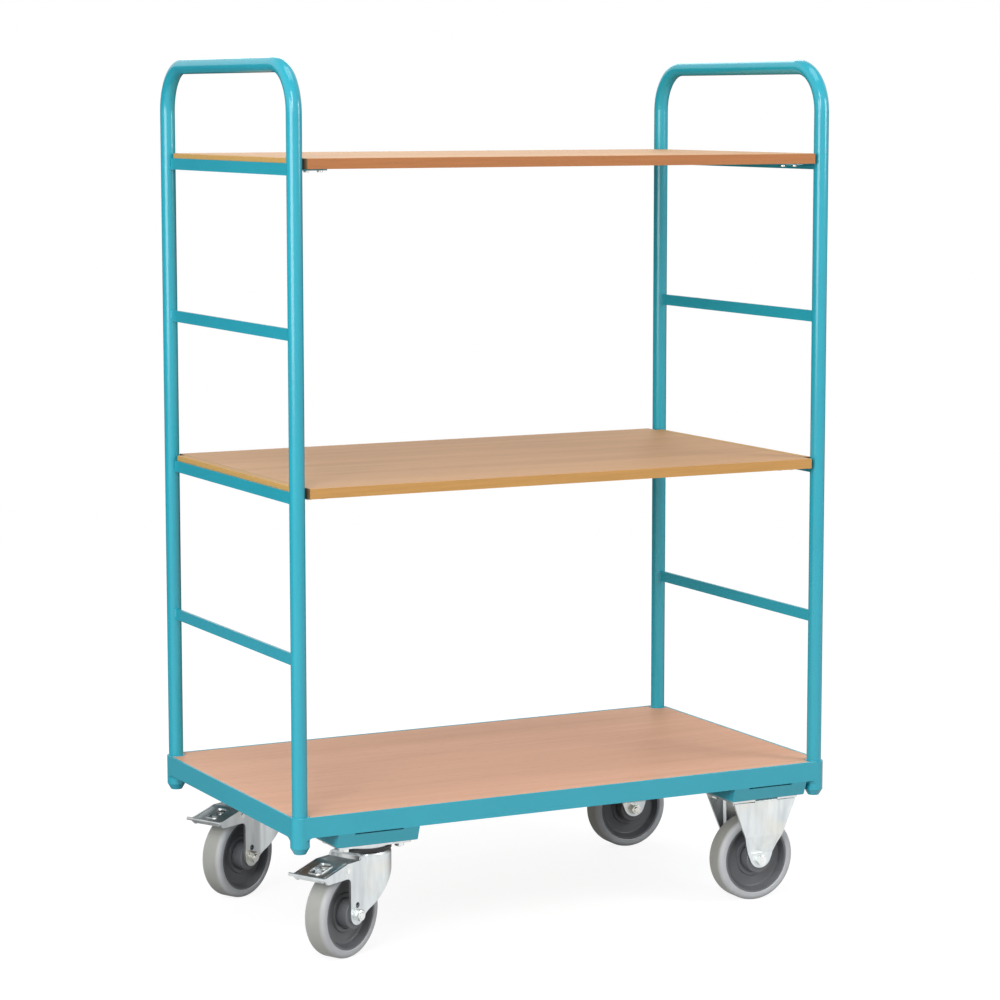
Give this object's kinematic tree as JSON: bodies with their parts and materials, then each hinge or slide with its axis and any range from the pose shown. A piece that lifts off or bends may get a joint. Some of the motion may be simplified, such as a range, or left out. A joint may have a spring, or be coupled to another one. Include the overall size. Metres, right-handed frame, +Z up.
{
  "type": "shelf trolley",
  "caption": "Shelf trolley: painted steel base, bent tube handles at both ends, wood deck and two shelves, rolling on braked swivel casters and fixed casters.",
  "frame": {"origin": "on the floor under the middle of the overall outline, the front brake pedal included", "axes": "+X along the long side from the swivel casters to the fixed casters, +Y from front to rear, +Z up"},
  "size_m": [1.0736, 0.6554, 1.555],
  "materials": {
    "teal_paint": "gloss",
    "deck_board": "satin",
    "shelf_board": "satin",
    "zinc_sheet": "zinc plated",
    "zinc_fastener": "zinc plated",
    "bearing_steel": "ground",
    "black_seal": "matte",
    "wheel_rim": "satin",
    "grey_tyre": "matte"
  },
  "bodies": {
    "trolley_frame": {"front_left_socket": "teal_paint", "rear_left_socket": "teal_paint", "front_right_socket": "teal_paint", "rear_right_socket": "teal_paint", "front_rail": "teal_paint", "rear_rail": "teal_paint", "left_end_rail": "teal_paint", "right_end_rail": "teal_paint", "left_caster_channel": "teal_paint", "right_caster_channel": "teal_paint", "base_deck": "deck_board", "deck_screws": "zinc_fastener", "socket_set_screws": "zinc_fastener", "left_handle_tube": "teal_paint", "left_lower_crossbar": "teal_paint", "left_upper_crossbar": "teal_paint", "left_middle_shelf_bar": "teal_paint", "left_top_shelf_bar": "teal_paint", "right_handle_tube": "teal_paint", "right_lower_crossbar": "teal_paint", "right_upper_crossbar": "teal_paint", "right_middle_shelf_bar": "teal_paint", "right_top_shelf_bar": "teal_paint", "middle_shelf": "shelf_board", "top_shelf": "shelf_board", "shelf_screws": "zinc_fastener", "caster_bolts": "zinc_fastener", "caster_nuts": "zinc_fastener", "kingpins": "zinc_fastener", "swivel_balls": "bearing_steel", "front_swivel_plate": "zinc_sheet", "rear_swivel_plate": "zinc_sheet", "front_fixed_fork": "zinc_sheet", "rear_fixed_fork": "zinc_sheet", "fixed_axle_bolts": "zinc_fastener", "fixed_axle_nuts": "zinc_fastener"},
    "front_swivel": {"front_swivel_fork": "zinc_sheet", "front_seal_ring": "black_seal", "front_pedal_pin": "zinc_fastener", "front_swivel_axle_bolt": "zinc_fastener", "front_swivel_axle_nut": "zinc_fastener"},
    "front_pedal": {"front_brake_pedal": "zinc_sheet"},
    "front_swivel_wheel": {"front_swivel_rim": "wheel_rim", "front_swivel_tyre": "grey_tyre", "front_swivel_bearings": "bearing_steel"},
    "front_fixed_wheel": {"front_fixed_rim": "wheel_rim", "front_fixed_tyre": "grey_tyre", "front_fixed_bearings": "bearing_steel"},
    "rear_swivel": {"rear_swivel_fork": "zinc_sheet", "rear_seal_ring": "black_seal", "rear_pedal_pin": "zinc_fastener", "rear_swivel_axle_bolt": "zinc_fastener", "rear_swivel_axle_nut": "zinc_fastener"},
    "rear_pedal": {"rear_brake_pedal": "zinc_sheet"},
    "rear_swivel_wheel": {"rear_swivel_rim": "wheel_rim", "rear_swivel_tyre": "grey_tyre", "rear_swivel_bearings": "bearing_steel"},
    "rear_fixed_wheel": {"rear_fixed_rim": "wheel_rim", "rear_fixed_tyre": "grey_tyre", "rear_fixed_bearings": "bearing_steel"}
  },
  "joints": [
    {"name": "front_swivel_turn", "type": "hinge", "parent": "trolley_frame", "child": "front_swivel", "pos_m": [-0.377, -0.2206, 0.1875], "axis": [0, 0, 1], "continuous": true},
    {"name": "front_swivel_wheel_spin", "type": "hinge", "parent": "front_swivel", "child": "front_swivel_wheel", "pos_m": [-0.43135, -0.2483, 0.08], "axis": [0.454, -0.891, 0], "continuous": true},
    {"name": "front_pedal_press", "type": "hinge", "parent": "front_swivel", "child": "front_pedal", "pos_m": [-0.45363, -0.25965, 0.162], "axis": [0.454, -0.891, 0], "range_deg": [0, 12]},
    {"name": "front_fixed_wheel_spin", "type": "hinge", "parent": "trolley_frame", "child": "front_fixed_wheel", "pos_m": [0.417, -0.2206, 0.08], "axis": [0, 1, 0], "continuous": true},
    {"name": "rear_swivel_turn", "type": "hinge", "parent": "trolley_frame", "child": "rear_swivel", "pos_m": [-0.377, 0.2574, 0.1875], "axis": [0, 0, 1], "continuous": true},
    {"name": "rear_swivel_wheel_spin", "type": "hinge", "parent": "rear_swivel", "child": "rear_swivel_wheel", "pos_m": [-0.43135, 0.2297, 0.08], "axis": [0.454, -0.891, 0], "continuous": true},
    {"name": "rear_pedal_press", "type": "hinge", "parent": "rear_swivel", "child": "rear_pedal", "pos_m": [-0.45363, 0.21835, 0.162], "axis": [0.454, -0.891, 0], "range_deg": [0, 12]},
    {"name": "rear_fixed_wheel_spin", "type": "hinge", "parent": "trolley_frame", "child": "rear_fixed_wheel", "pos_m": [0.417, 0.2574, 0.08], "axis": [0, 1, 0], "continuous": true}
  ]
}
